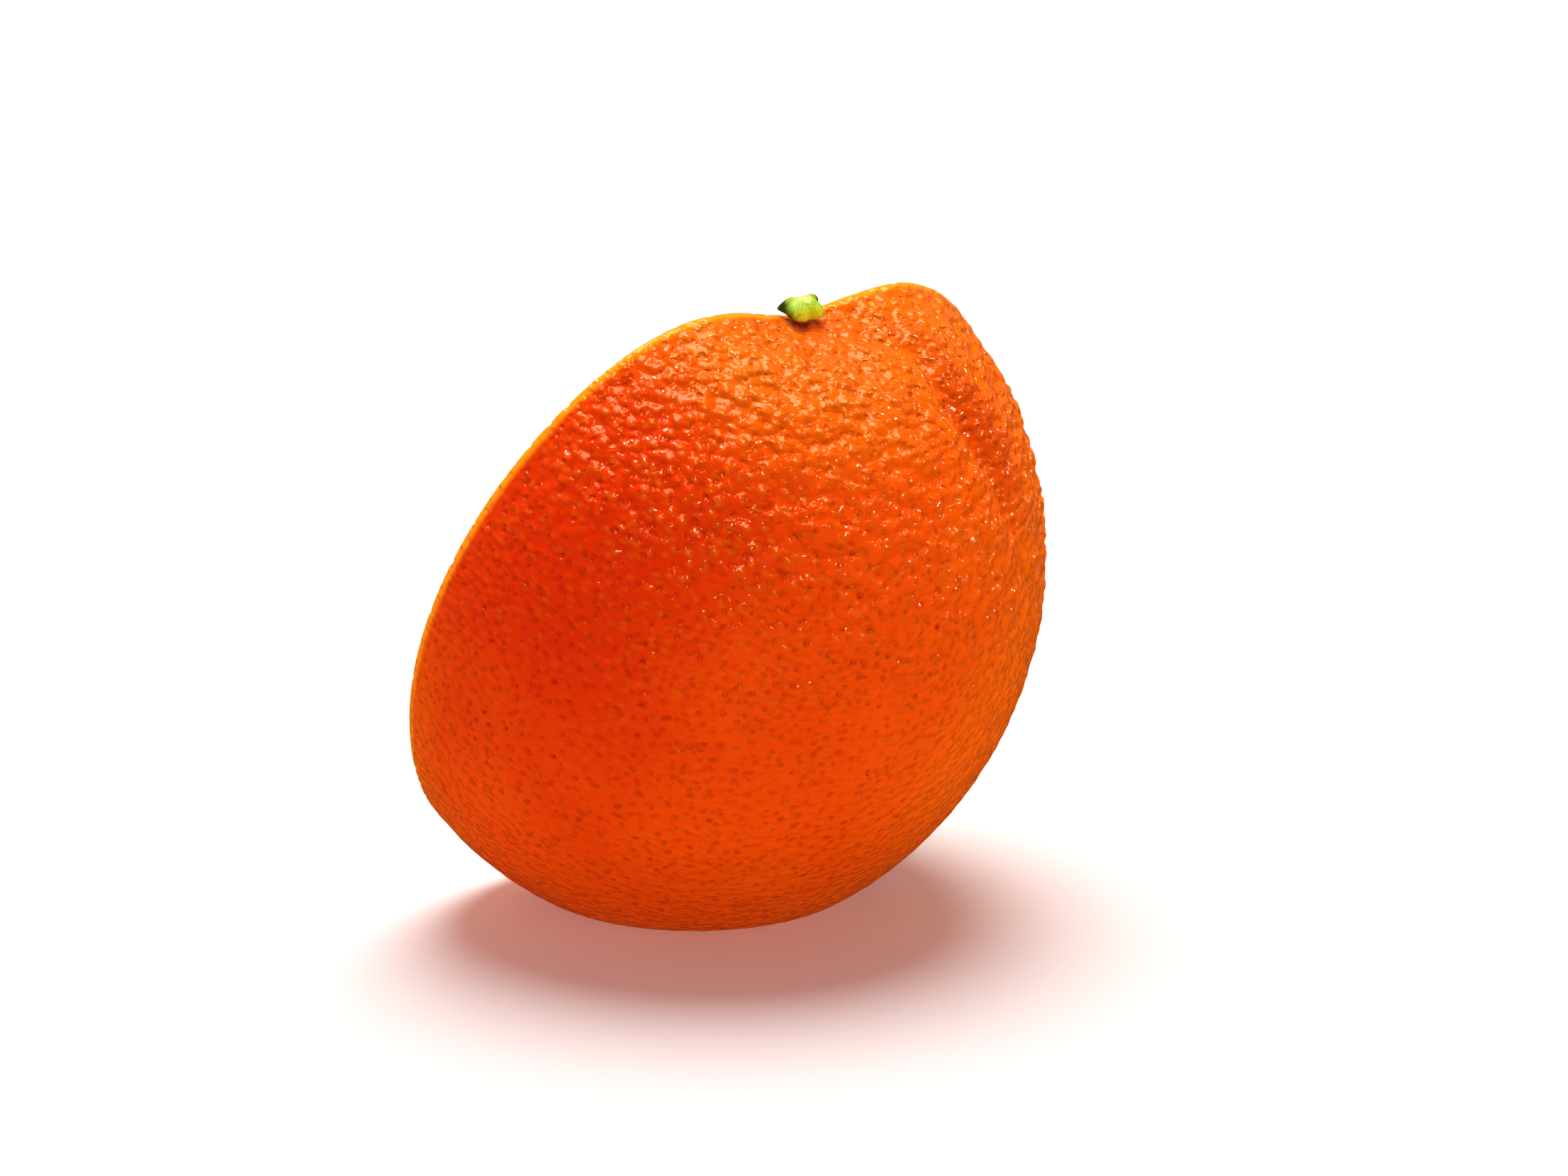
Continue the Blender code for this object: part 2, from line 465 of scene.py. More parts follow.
# %% The peel before its glands
ZEST_THICK = 0.0012
PITH_DEEP = 0.0036
EDGE_TURN = 0.00018
SHARP_EDGE = math.radians(55)
PEEL_STEPS = 172
ROUGHER_SIDE = (0.79, -0.55, 0.25)  # a direction in the fruit's own frame
SMOOTH_BY_CUT = 0.0025


def rim_order(points):
    """The points of the cut edge, in order round it."""
    rim = np.flatnonzero(np.abs(points[:, 1]) < 1e-9)
    return rim[np.argsort(np.arctan2(points[rim, 0], points[rim, 2]))]


def inset(loop, distance):
    """A closed loop in the cut plane, moved inwards by a distance."""
    along = np.roll(loop, -1, axis=0) - np.roll(loop, 1, axis=0)
    inward = np.stack([-along[:, 2], 0 * along[:, 0], along[:, 0]], axis=1)
    inward /= np.linalg.norm(inward, axis=1)[:, None]
    middle = loop.mean(axis=0)
    if ((middle - loop) * inward).sum() < 0:
        inward = -inward
    return loop + distance * inward


def joined(first, second):
    """Quads between two closed loops of point numbers."""
    return np.stack([first, np.roll(first, -1), np.roll(second, -1), second], axis=1)


def peel_before_glands():
    """The skin's directions, all the peel's points and faces, and the numbers of its cut edge."""
    ways, quads = half_ball(PEEL_STEPS)
    points = grooved(ways, skin(ways))
    rim = rim_order(points)
    edge = points[rim].copy()
    edge[:, 1] = 0.0
    points[rim] = inset(edge, EDGE_TURN)
    step_top = inset(edge, ZEST_THICK)
    loops = [inset(edge, 0.4 * ZEST_THICK), step_top, step_top - (0.0, PITH_DEEP, 0.0)]
    faces = list(quads)
    before = rim
    for loop in loops:
        numbers = np.arange(len(loop)) + len(points)
        points = np.vstack([points, loop])
        faces += list(joined(before, numbers))
        before = numbers
    middle = len(points)
    points = np.vstack([points, [[0.0, -PITH_DEEP, 0.0]]])
    faces += [(a, b, middle) for a, b in zip(before, np.roll(before, -1))]
    return ways, points, faces, rim


def with_faces_out(made):
    """Turns every face of a closed mesh outwards."""
    shape = bmesh.new()
    shape.from_mesh(made.data)
    bmesh.ops.recalc_face_normals(shape, faces=shape.faces)
    shape.to_mesh(made.data)
    shape.free()
    return made


skin_ways, peel_points, peel_faces, peel_rim = peel_before_glands()
peel = with_faces_out(piece_from("peel", peel_points, peel_faces, orange_skin))
cell = 1000 * math.pi * WIDTH / 4 / PEEL_STEPS
print("peel grid:", len(peel_points), "points, about", round(cell, 2), "mm apart")

# %% Where the skin may rise and sink
# "lift" is the way out of the skin, none inside the fruit and level with the knife at the edge;
# "rough" is how strongly the skin is pebbled, less by the cut so that the edge stays clean;
# "furrow" is 1 past the furrow, where the skin is painted red as shade, and -1 on the ridge
# before it, where the skin is painted pale as a highlight; it also smooths the pebbles there.
lift = np.zeros((len(peel_points), 3))
out = skin_ways / (WIDTH / 2, THICK, TALL / 2)
out /= np.linalg.norm(out, axis=1)[:, None]
out[peel_rim, 1] = 0.0
on_skin = slice(0, len(skin_ways))
lift[on_skin] = out
theta, _ = from_stem(skin_ways)
side = np.clip(0.3 + 0.8 * (skin_ways @ ROUGHER_SIDE), 0, 1)
side *= 0.7 * bump(theta, 0.85, 0.60)
across, strength = beside_furrow(skin_ways)
furrow = np.zeros(len(peel_points))
furrow[on_skin] = strength * (bump(across, 0.08, 0.09) - bump(across, -0.07, 0.045))
rough = np.zeros(len(peel_points))
rough[on_skin] = 0.25 + 0.75 * np.clip(bump(theta, 0.35, 0.72) + side, 0, 1)
from_cut = np.clip(-peel_points[:, 1] / SMOOTH_BY_CUT, 0, 1)
rough *= (0.2 + 0.8 * from_cut) * (1 - 0.4 * np.abs(furrow))
keep_on_points(peel, "furrow", furrow)
keep_on_points(peel, "lift", lift @ np.array(RESTING).T)
keep_on_points(peel, "rough", rough)
keep_on_points(peel, "own", peel_points)


# %% Glands and pebbles
def skin_growth():
    """Nodes that sink glands, pebbles and ridges into the skin, then press it flat underneath."""
    tree, given, result = new_growth(
        "skin_glands", gland_spacing=GLAND_SPACING, gland_width=0.00050, gland_depth=0.00026,
        pebble_size=0.0023, pebble_height=0.00045, ridge_size=0.0034, ridge_height=0.0018,
        rest_rounding=0.002, seed=4, finish="")
    place = tree.nodes.new("GeometryNodeInputPosition").outputs[0]
    lift = kept(tree, "lift", "FLOAT_VECTOR")
    own = kept(tree, "own", "FLOAT_VECTOR")
    rough = kept(tree, "rough")
    glands = add_node(tree, "GeometryNodeDistributePointsOnFaces", {"distribute_method": "POISSON"},
                      mesh=given["Geometry"], distance_min=given["Gland Spacing"],
                      density_max=1.5e6, seed=given["Seed"])
    near = add_node(tree, "GeometryNodeProximity", {"target_element": "POINTS"},
                    geometry=glands.outputs["Points"])
    dip = between(tree, near.outputs["Distance"], 0.0, given["Gland Width"], 1.0, 0.0)
    pit = times(tree, dip, vectors(tree, "LENGTH", lift))
    pits = times(tree, pit, given["Gland Depth"])

    crown = add_node(tree, "ShaderNodeTexVoronoi", {"feature": "SMOOTH_F1"},
                     vector=vectors(tree, "MULTIPLY", own, (1.0, 1.0, 1.9)),
                     scale=maths(tree, "DIVIDE", 1.0, given["Pebble Size"]), smoothness=0.35)
    pebbles = times(tree, crown.outputs["Distance"], given["Pebble Height"])
    swell = add_node(tree, "ShaderNodeTexNoise", detail=1.5,
                     vector=vectors(tree, "MULTIPLY", own, (1.0, 1.0, 2.3)),
                     scale=maths(tree, "DIVIDE", 1.0, given["Ridge Size"])).outputs[0]
    valley = maths(tree, "SMOOTH_MAX", maths(tree, "SUBTRACT", 0.62, swell), 0.0, 0.12)
    ridges = times(tree, times(tree, valley, rough), given["Ridge Height"])
    sunk = times(tree, maths(tree, "ADD", pebbles, ridges), rough)
    height = times(tree, maths(tree, "ADD", sunk, pits), -1.0)
    moved = add_node(tree, "ShaderNodeVectorMath", {"operation": "SCALE"}, vector=lift,
                     scale=height).outputs["Vector"]
    marked = add_node(tree, "GeometryNodeStoreNamedAttribute",
                      geometry=given["Geometry"], name="gland", value=pit)
    raised = add_node(tree, "GeometryNodeSetPosition", geometry=marked.outputs[0], offset=moved)
    apart = parts(tree, place)
    level = maths(tree, "SMOOTH_MAX", apart[2], 0.0, given["Rest Rounding"])
    rested = add_node(tree, "ShaderNodeCombineXYZ", x=apart[0], y=apart[1], z=level).outputs[0]
    settled = add_node(tree, "GeometryNodeSetPosition", geometry=raised.outputs[0], position=rested)
    real = add_node(tree, "GeometryNodeRealizeInstances", geometry=settled.outputs[0])
    painted = add_node(tree, "GeometryNodeSetMaterial", geometry=real.outputs[0],
                       material=given["Finish"])
    tree.links.new(painted.outputs[0], result[0])
    return tree


grown_by(peel, skin_growth(), finish=orange_skin)
peel.data.set_sharp_from_angle(angle=SHARP_EDGE)

# %% [markdown]
# ## The cut face
#
# Behind the zest comes the pith, pale and spongy, 5 to 7 mm thick on this fruit, then two
# segments cut lengthwise, one each side of the core. A painted disc would look flat from
# nearby, so the face is cut like a stencil: the pith is a plate with three holes. Two of them
# hold the segments, and the third stays open as the small hollow beside the core.
#
# The outlines come from the same skin formula, moved inwards by the thickness of the rind.
# Blender's constrained triangulation then fills each outline with small even triangles.

# %% Outlines on the cut face
RIND_AT_STEM, RIND_AT_SIDE = 0.0062, 0.0086
SEGMENT_FROM, SEGMENT_TO = 0.36, 2.86
CORE_HALF_WIDE = 0.0017
CORE_FLARE = 0.0030
CORNER_ROUNDING = 0.0019
HOLLOW_LONG, HOLLOW_WIDE = 0.0104, 0.0010
HOLLOW_OFF_CORE, HOLLOW_HIGH = 0.00085, 0.0040
FINE_STEP = 0.00045


def cut_edge(turns):
    """The skin's outline on the cut face, turns in radians from the stem, towards +X first."""
    ways = np.stack([np.sin(turns), 0 * turns, np.cos(turns)], axis=1)
    edge = grooved(ways, skin(ways))
    edge[:, 1] = 0.0
    return edge


def evenly_spaced(loop, step):
    """A closed loop with its points spaced evenly, about a step apart."""
    closed = np.vstack([loop, loop[:1]])
    run = np.concatenate([[0.0], np.cumsum(np.linalg.norm(np.diff(closed, axis=0), axis=1))])
    marks = np.linspace(0.0, run[-1], int(run[-1] / step), endpoint=False)
    return np.stack([np.interp(marks, run, closed[:, axis]) for axis in range(3)], axis=1)


def rounded(loop, distance):
    """A closed, even loop with its corners rounded over about a distance."""
    step = np.linalg.norm(loop[1] - loop[0])
    for _ in range(int((distance / step) ** 2)):
        loop = 0.5 * loop + 0.25 * (np.roll(loop, 1, axis=0) + np.roll(loop, -1, axis=0))
    return loop


def segment_outline(side):
    """One segment's outline: its rind side, then its core side, which flares at both ends."""
    turns = np.linspace(SEGMENT_FROM, SEGMENT_TO, 120) * side
    marks = np.linspace(-math.pi, math.pi, 720, endpoint=False)
    whole = cut_edge(marks)
    rind = RIND_AT_STEM + (RIND_AT_SIDE - RIND_AT_STEM) * np.sin(marks) ** 2
    inward = inset(whole, 1.0) - whole
    moved = whole + inward * rind[:, None]
    outer = np.stack([np.interp(turns, marks, moved[:, axis]) for axis in range(3)], axis=1)
    along = np.linspace(-1.0, 1.0, 60)
    middle = (outer[0, 2] + outer[-1, 2]) / 2
    half = (outer[0, 2] - outer[-1, 2]) / 2
    core = np.stack([side * (CORE_HALF_WIDE + CORE_FLARE * np.abs(along) ** 3), 0 * along,
                     middle + half * along], axis=1)
    return rounded(evenly_spaced(np.vstack([outer, core]), FINE_STEP), CORNER_ROUNDING)


def hollow_outline():
    """The small hollow beside the core, a slit that tapers at both ends."""
    turn = np.linspace(0.0, 2 * math.pi, 90, endpoint=False)
    across = HOLLOW_WIDE / 2 * np.sin(turn) * (1 + 0.3 * np.cos(turn))
    along = HOLLOW_LONG / 2 * np.cos(turn)
    slit = np.stack([HOLLOW_OFF_CORE + across, 0 * turn, HOLLOW_HIGH + along], axis=1)
    return evenly_spaced(slit, 0.0002)


# %% Plates cut to an outline
def inside(points, loop):
    """Which points of the cut face lie inside a closed loop."""
    start, end = loop[:, [0, 2]], np.roll(loop, -1, axis=0)[:, [0, 2]]
    x, z = points[:, 0:1], points[:, 2:3]
    spans = (start[:, 1] > z) != (end[:, 1] > z)
    rise = np.where(end[:, 1] == start[:, 1], 1e-12, end[:, 1] - start[:, 1])
    crossing = start[:, 0] + (z - start[:, 1]) / rise * (end[:, 0] - start[:, 0])
    return (spans & (x < crossing)).sum(axis=1) % 2 == 1


def plate(name, outer, holes, top, bottom, step):
    """A closed plate in the cut face with these outlines, between two depths along y."""
    loops = [outer, *holes]
    low, high = outer.min(axis=0), outer.max(axis=0)
    rows = np.arange(low[2], high[2], step * 0.87)
    grid = np.array([(x + (number % 2) * step / 2, 0.0, z) for number, z in enumerate(rows)
                     for x in np.arange(low[0], high[0], step)])
    keep = inside(grid, inset(outer, 0.6 * step))
    for hole in holes:
        keep &= ~inside(grid, inset(hole, -0.6 * step))
    points = np.vstack([*loops, grid[keep]])
    edges, first = [], 0
    for loop in loops:
        numbers = np.arange(len(loop)) + first
        edges.append(np.stack([numbers, np.roll(numbers, -1)], axis=1))
        first += len(loop)
    flat = [Vector((x, z)) for x, _, z in points]
    filled = delaunay_2d_cdt(flat, np.vstack(edges).tolist(), [], 0, 1e-7)
    flat = np.array([(x, 0.0, z) for x, z in filled[0]])
    faces = np.array([face for face in filled[2] if len(face) == 3])
    middles = flat[faces].mean(axis=1)
    keep = inside(middles, outer)
    for hole in holes:
        keep &= ~inside(middles, hole)
    faces = faces[keep]
    count = len(flat)
    both = np.vstack([flat + (0, top, 0), flat + (0, bottom, 0)])
    walls = [(a, b, b + count, a + count) for pairs in edges for a, b in pairs]
    return with_faces_out(piece_from(name, both, [*faces, *(faces[:, ::-1] + count), *walls]))


# %% [markdown]
# The pith is dry and matt where the segments are wet. Its colour runs from bright yellow under
# the zest to cream near the segments, with fine fibres along the core.

# %% Pith finish
PITH_YELLOW = (0.92, 0.47, 0.008)
PITH_CREAM = (0.90, 0.62, 0.17)
CORE_CREAM = (0.88, 0.70, 0.32)
SPECK_ROSE = (0.62, 0.30, 0.17)
STRAND_GREEN = (0.36, 0.42, 0.06)


def pith_finish():
    finish, tree, shader, own = new_finish(
        "pith", roughness=0.62, subsurface_weight=0.3, subsurface_scale=0.003,
        subsurface_radius=(1.0, 0.6, 0.2))
    apart = parts(tree, own)
    flat = add_node(tree, "ShaderNodeCombineXYZ", x=apart[0], z=apart[2]).outputs[0]
    scaled = vectors(tree, "MULTIPLY", flat, (2 / WIDTH, 0.0, 1.9 / TALL))
    reach = vectors(tree, "LENGTH", scaled)
    wander = times(tree, noise(tree, own, 0.004, 3.0), 0.10)
    outwards = between(tree, maths(tree, "ADD", reach, wander), 0.86, 1.02)
    colour = colour_mix(tree, outwards, PITH_CREAM, PITH_YELLOW)
    sideways = maths(tree, "ABSOLUTE", apart[0])
    core = between(tree, sideways, 0.0012, 0.0030, 1.0, 0.0)
    colour = colour_mix(tree, core, colour, CORE_CREAM)
    fibre_place = add_node(tree, "ShaderNodeMapping", vector=own, scale=(1.0, 1.0, 0.12)).outputs[0]
    fibres = noise(tree, fibre_place, 0.0006, 3.0)
    specks = times(tree, between(tree, fibres, 0.60, 0.72), core)
    colour = colour_mix(tree, times(tree, specks, 0.6), colour, SPECK_ROSE)
    off_line = maths(tree, "ABSOLUTE", maths(tree, "SUBTRACT", sideways, 0.0010))
    strand = between(tree, off_line, 0.0001, 0.0004, 0.55, 0.0)
    near_stem = between(tree, apart[2], 0.006, 0.026)
    colour = colour_mix(tree, times(tree, strand, near_stem), colour, STRAND_GREEN)
    tree.links.new(colour, shader.inputs["Base Color"])
    sponge = maths(tree, "ADD", noise(tree, own, 0.0009, 4.0), times(tree, fibres, core))
    raise_surface(tree, shader, 0.6, 0.0003, sponge)
    return finish


pith_skin = pith_finish()

# %% The pith, with holes for the segments and the hollow
PITH_TUCKED = 0.00008  # how far the pith reaches into the zest, so that no gap shows
PITH_SUNK = 0.00003
PLATE_BACK = 0.0002 - PITH_DEEP
whole_edge = evenly_spaced(cut_edge(np.linspace(-math.pi, math.pi, 900, endpoint=False)), FINE_STEP)
segments = {"left": segment_outline(-1), "right": segment_outline(1)}
slit = hollow_outline()
pith = plate("pith", inset(whole_edge, ZEST_THICK - PITH_TUCKED), [*segments.values(), slit],
             -PITH_SUNK, PLATE_BACK, 0.0008)
pith.data.materials.append(pith_skin)
print("pith:", len(pith.data.polygons), "faces")

# %% [markdown]
# ## Juice sacs
#
# A segment is hundreds of juice sacs, long drops that hang from the rind side and point at the
# core. The knife opens them, so they lie level with the cut, wet, with pale walls between.
# A tree of nodes scatters points over the segment, lays a tapered drop at each, turned to the
# core, and then shaves all of them to the cut.
# Under them each segment has a plate of membrane, so no gap between sacs is a hole.

# %% Juice and membrane finishes
JUICE_LIGHT = (1.0, 0.36, 0.006)
JUICE_DEEP = (0.90, 0.18, 0.002)
MEMBRANE = (1.0, 0.52, 0.070)
JUICE_GLINT = (1.0, 0.78, 0.45)


def juice_finish():
    finish, tree, shader, own = new_finish(
        "juice_sacs", roughness=0.13, subsurface_weight=0.35, subsurface_scale=0.003, ior=1.38,
        subsurface_radius=(1.0, 0.35, 0.05), specular_tint=(*JUICE_GLINT, 1.0))
    tone = shown_by(tree, "sac_tone")
    cloud = between(tree, noise(tree, own, 0.006, 2.0), 0.35, 0.65)
    share = maths(tree, "ADD", times(tree, tone, 0.6), times(tree, cloud, 0.4))
    colour = colour_mix(tree, share, JUICE_LIGHT, JUICE_DEEP)
    wall = shown_by(tree, "sac_wall")
    colour = colour_mix(tree, times(tree, wall, 0.7), colour, MEMBRANE)
    tree.links.new(colour, shader.inputs["Base Color"])
    return finish


def membrane_finish():
    finish, tree, shader, own = new_finish(
        "membrane", roughness=0.3, subsurface_weight=0.4, subsurface_scale=0.003,
        subsurface_radius=(1.0, 0.5, 0.1))
    patch = between(tree, noise(tree, own, 0.003, 3.0), 0.3, 0.7)
    tree.links.new(colour_mix(tree, patch, MEMBRANE, JUICE_LIGHT), shader.inputs["Base Color"])
    return finish


juice = juice_finish()
membrane = membrane_finish()


# %% Sacs by nodes
TONE_SEED = 7


def sac_growth():
    """Nodes that fill a plate with juice sacs, level with the cut."""
    tree, given, result = new_growth(
        "juice_sacs", sac_spacing=0.00095, sac_length=0.0066, sac_width=0.0012, sac_height=0.0017,
        sunk=0.00045, seed=11, juice="", membrane="")
    place = tree.nodes.new("GeometryNodeInputPosition").outputs[0]
    toward = kept(tree, "toward_core", "FLOAT_VECTOR")
    front = kept(tree, "front")
    spots = add_node(tree, "GeometryNodeDistributePointsOnFaces", {"distribute_method": "POISSON"},
                     mesh=given["Geometry"], distance_min=given["Sac Spacing"],
                     density_max=3e6, density_factor=front, seed=given["Seed"])
    turn = add_node(tree, "FunctionNodeAlignRotationToVector", {"axis": "X"}, vector=toward)
    level = add_node(tree, "FunctionNodeAlignRotationToVector", {"axis": "Z", "pivot_axis": "X"},
                     rotation=turn.outputs[0], vector=tuple(CUT_NORMAL))

    ball = add_node(tree, "GeometryNodeMeshUVSphere", segments=10, rings=6, radius=0.5)
    apart = parts(tree, place)
    taper = maths(tree, "SUBTRACT", 1.0, times(tree, apart[0], 0.7))
    narrow = times(tree, times(tree, apart[1], taper), given["Sac Width"])
    tall = times(tree, times(tree, apart[2], taper), given["Sac Height"])
    long = times(tree, apart[0], given["Sac Length"])
    shaped = add_node(tree, "ShaderNodeCombineXYZ", x=long, y=narrow, z=tall).outputs[0]
    wall = between(tree, apart[2], 0.18, 0.46, 1.0, 0.0)
    marked = add_node(tree, "GeometryNodeStoreNamedAttribute", geometry=ball.outputs["Mesh"],
                      name="sac_wall", value=wall)
    drop = add_node(tree, "GeometryNodeSetPosition", geometry=marked.outputs[0], position=shaped)
    smooth = add_node(tree, "GeometryNodeSetShadeSmooth", geometry=drop.outputs[0])

    size = add_node(tree, "FunctionNodeRandomValue", {"data_type": "FLOAT"}, _2=0.65, _3=1.25,
                    seed=given["Seed"]).outputs[1]
    laid = add_node(tree, "GeometryNodeInstanceOnPoints", points=spots.outputs["Points"],
                    instance=smooth.outputs[0], rotation=level.outputs[0], scale=size)
    wobble = add_node(tree, "FunctionNodeRandomValue", {"data_type": "FLOAT_VECTOR"},
                      _0=(-0.16, -0.10, -0.30), _1=(0.16, 0.10, 0.30)).outputs[0]
    leaned = add_node(tree, "GeometryNodeRotateInstances", instances=laid.outputs[0], rotation=wobble)
    tone = add_node(tree, "FunctionNodeRandomValue", {"data_type": "FLOAT"}, seed=TONE_SEED).outputs[1]
    toned = add_node(tree, "GeometryNodeStoreNamedAttribute", {"domain": "INSTANCE"},
                     geometry=leaned.outputs[0], name="sac_tone", value=tone)
    real = add_node(tree, "GeometryNodeRealizeInstances", geometry=toned.outputs[0])

    normal, middle = tuple(CUT_NORMAL), tuple(CENTRE)
    offset = vectors(tree, "SUBTRACT", place, middle)
    height = vectors(tree, "DOT_PRODUCT", offset, normal)
    shaved = maths(tree, "SMOOTH_MIN", maths(tree, "SUBTRACT", height, given["Sunk"]), 0.00012, 0.0007)
    down = add_node(tree, "ShaderNodeVectorMath", {"operation": "SCALE"}, _0=normal,
                    scale=maths(tree, "SUBTRACT", shaved, height)).outputs[0]
    cut = add_node(tree, "GeometryNodeSetPosition", geometry=real.outputs[0], offset=down)
    wet = add_node(tree, "GeometryNodeSetMaterial", geometry=cut.outputs[0], material=given["Juice"])
    walls = add_node(tree, "GeometryNodeSetMaterial", geometry=given["Geometry"],
                     material=given["Membrane"])
    both = tree.nodes.new("GeometryNodeJoinGeometry")
    tree.links.new(walls.outputs[0], both.inputs[0])
    tree.links.new(wet.outputs[0], both.inputs[0])
    tree.links.new(both.outputs[0], result[0])
    return tree


# %% The two segments
SEGMENT_TUCKED = 0.0001  # how far a segment reaches under the pith's edge
MEMBRANE_SUNK = 0.0006
SAC_MARGIN = 0.0009
FIRST_SEED = 11

sacs = sac_growth()
segment_pieces = []
for number, (side, outline) in enumerate(segments.items()):
    made = plate(f"segment_{side}", inset(outline, -SEGMENT_TUCKED), [], -MEMBRANE_SUNK,
                 PLATE_BACK + 0.0001, 0.0009)
    points = np.array([vert.co for vert in made.data.vertices])
    own = (points - np.array(CENTRE)) @ np.array(RESTING)
    aim = np.stack([-own[:, 0], 0 * own[:, 0], 0.45 * (0.002 - own[:, 2])], axis=1)
    keep_on_points(made, "toward_core", aim @ np.array(RESTING).T)
    room = inside(own * (1, 0, 1), inset(outline, SAC_MARGIN)) & (own[:, 1] > -0.001)
    keep_on_points(made, "front", room.astype(float))
    made = grown_by(made, sacs, seed=FIRST_SEED + number, juice=juice, membrane=membrane)
    segment_pieces.append(made)

# %% [markdown]
# ## The calyx
#
# The small green button is what is left of the flower: five leathery lobes on the dimple of
# the stem, with a pale round scar where the stalk came away. The knife halved it too. It is
# drawn as a fan of rings, thin at the rim and raised in the middle. Like the solid's, it
# floats 0.3 mm above the smooth skin; pebbles and folds sink the peel under it further.

# %% Sizes of the calyx
CALYX_ACROSS = 0.0062
CALYX_LOBES = 5
CALYX_NOTCH = 0.20
CALYX_RIM = 0.0008
CALYX_CROWN = 0.0013
SCAR_ACROSS = 0.0024
SCAR_DEEP = 0.00020
CALYX_GAP = 0.0003
CALYX_RINGS, CALYX_STEPS = 30, 90


def calyx_shape():
    """Upper and lower points of half the calyx, in rings from its middle to its rim."""
    out, turn = np.meshgrid(np.linspace(0.0, 1.0, CALYX_RINGS + 1),
                            np.linspace(0.0, -math.pi, CALYX_STEPS + 1), indexing="ij")
    lobe = np.cos(CALYX_LOBES * (turn + math.pi / 2) / 2)
    reach = out * CALYX_ACROSS / 2 * (1.0 - CALYX_NOTCH * out * lobe ** 4)
    down = np.arctan2(reach, skin(np.array([[0.0, 0.0, 1.0]]))[0, 2])
    ways = np.stack([np.sin(down) * np.cos(turn), np.sin(down) * np.sin(turn), np.cos(down)], -1)
    foot = skin(ways.reshape(-1, 3)).reshape(ways.shape)
    foot[..., 2] += CALYX_GAP
    rolled = np.sqrt(np.clip(1.0 - out ** 8, 0.0, 1.0))
    scar = 0.5 - 0.5 * np.tanh((reach - SCAR_ACROSS / 2) / 0.00014)
    ridge = 0.00013 * (1 - lobe ** 2) * np.sin(math.pi * out)
    ribs = 0.00004 * np.cos(40 * turn) * np.clip(out * 2 - 0.6, 0, 1)
    top = CALYX_RIM + CALYX_CROWN * (1.0 - out ** 2) - SCAR_DEEP * scar + ridge + ribs
    upper, lower = foot.copy(), foot.copy()
    upper[..., 2] += CALYX_RIM / 2 + (top - CALYX_RIM / 2) * rolled
    lower[..., 2] += CALYX_RIM / 2 - CALYX_RIM / 2 * rolled
    return upper, lower, out


def calyx_piece():
    """The calyx as one closed mesh, its two faces joined along the rim and along the cut."""
    upper, lower, out = calyx_shape()
    rings, steps = out.shape
    points, quads = np.vstack([upper.reshape(-1, 3), lower.reshape(-1, 3)]), []
    index = np.arange(rings * steps).reshape(rings, steps)
    under = index + rings * steps
    for table in (index, under):
        quads += np.stack([table[:-1, :-1], table[1:, :-1], table[1:, 1:], table[:-1, 1:]],
                          -1).reshape(-1, 4).tolist()
    for side in (0, -1):
        quads += np.stack([index[:-1, side], index[1:, side], under[1:, side], under[:-1, side]],
                          -1).tolist()
    made = piece_from("calyx_button", points, quads)
    shape = bmesh.new()
    shape.from_mesh(made.data)
    bmesh.ops.remove_doubles(shape, verts=shape.verts, dist=1e-6)
    bmesh.ops.dissolve_degenerate(shape, edges=shape.edges, dist=1e-7)
    bmesh.ops.recalc_face_normals(shape, faces=shape.faces)
    shape.to_mesh(made.data)
    shape.free()
    made.data.shade_smooth()
    made.data.set_sharp_from_angle(angle=math.radians(50))
    return made


# %% [markdown]
# The calyx is waxy and yellow-green, dark where the lobes fold down, cream where the stalk was.

# %% Calyx finish
CALYX_GREEN = (0.32, 0.52, 0.012)
CALYX_YELLOW = (0.62, 0.58, 0.006)
CALYX_DARK = (0.035, 0.085, 0.006)
SCAR_CREAM = (0.62, 0.60, 0.16)


def calyx_finish():
    finish, tree, shader, own = new_finish(
        "calyx_green", roughness=0.35, subsurface_weight=0.2, subsurface_scale=0.001)
    apart = parts(tree, own)
    flat = add_node(tree, "ShaderNodeCombineXYZ", x=apart[0], y=apart[1]).outputs[0]
    reach = vectors(tree, "LENGTH", flat)
    colour = colour_mix(tree, between(tree, apart[1], -0.0026, -0.0012, 1.0, 0.0),
                        CALYX_GREEN, CALYX_YELLOW)
    wander = times(tree, noise(tree, own, 0.0011, 3.0), 0.0008)
    sideways = maths(tree, "ADD", maths(tree, "ABSOLUTE", apart[0]), wander)
    colour = colour_mix(tree, between(tree, sideways, 0.0022, 0.0028), colour, CALYX_DARK)
    spot = between(tree, noise(tree, own, 0.0016, 2.0), 0.60, 0.68)
    colour = colour_mix(tree, times(tree, spot, 0.45), colour, CALYX_DARK)
    scar = between(tree, reach, 0.0010, 0.0013, 1.0, 0.0)
    colour = colour_mix(tree, times(tree, scar, 0.75), colour, SCAR_CREAM)
    tree.links.new(colour, shader.inputs["Base Color"])
    raise_surface(tree, shader, 0.5, 0.0001, noise(tree, own, 0.0003, 3.0))
    return finish


calyx = calyx_piece()
calyx.data.materials.append(calyx_finish())
print("calyx:", len(calyx.data.polygons), "faces")


# %% [markdown]
# ## Where each piece belongs
#
# Nothing on the fruit moves, so every piece rides with the one body. The peel stands in for the
# plain solid half and the calyx for the plain calyx; the pith and the segments fill the peel.

# %% Bodies, and what is replaced
PIECES = {"peel": [peel], "pith": [pith], "pulp": segment_pieces, "calyx": [calyx]}
for slot, group in PIECES.items():
    for made in group:
        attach(made, "root")
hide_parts("half_orange")
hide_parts("calyx")

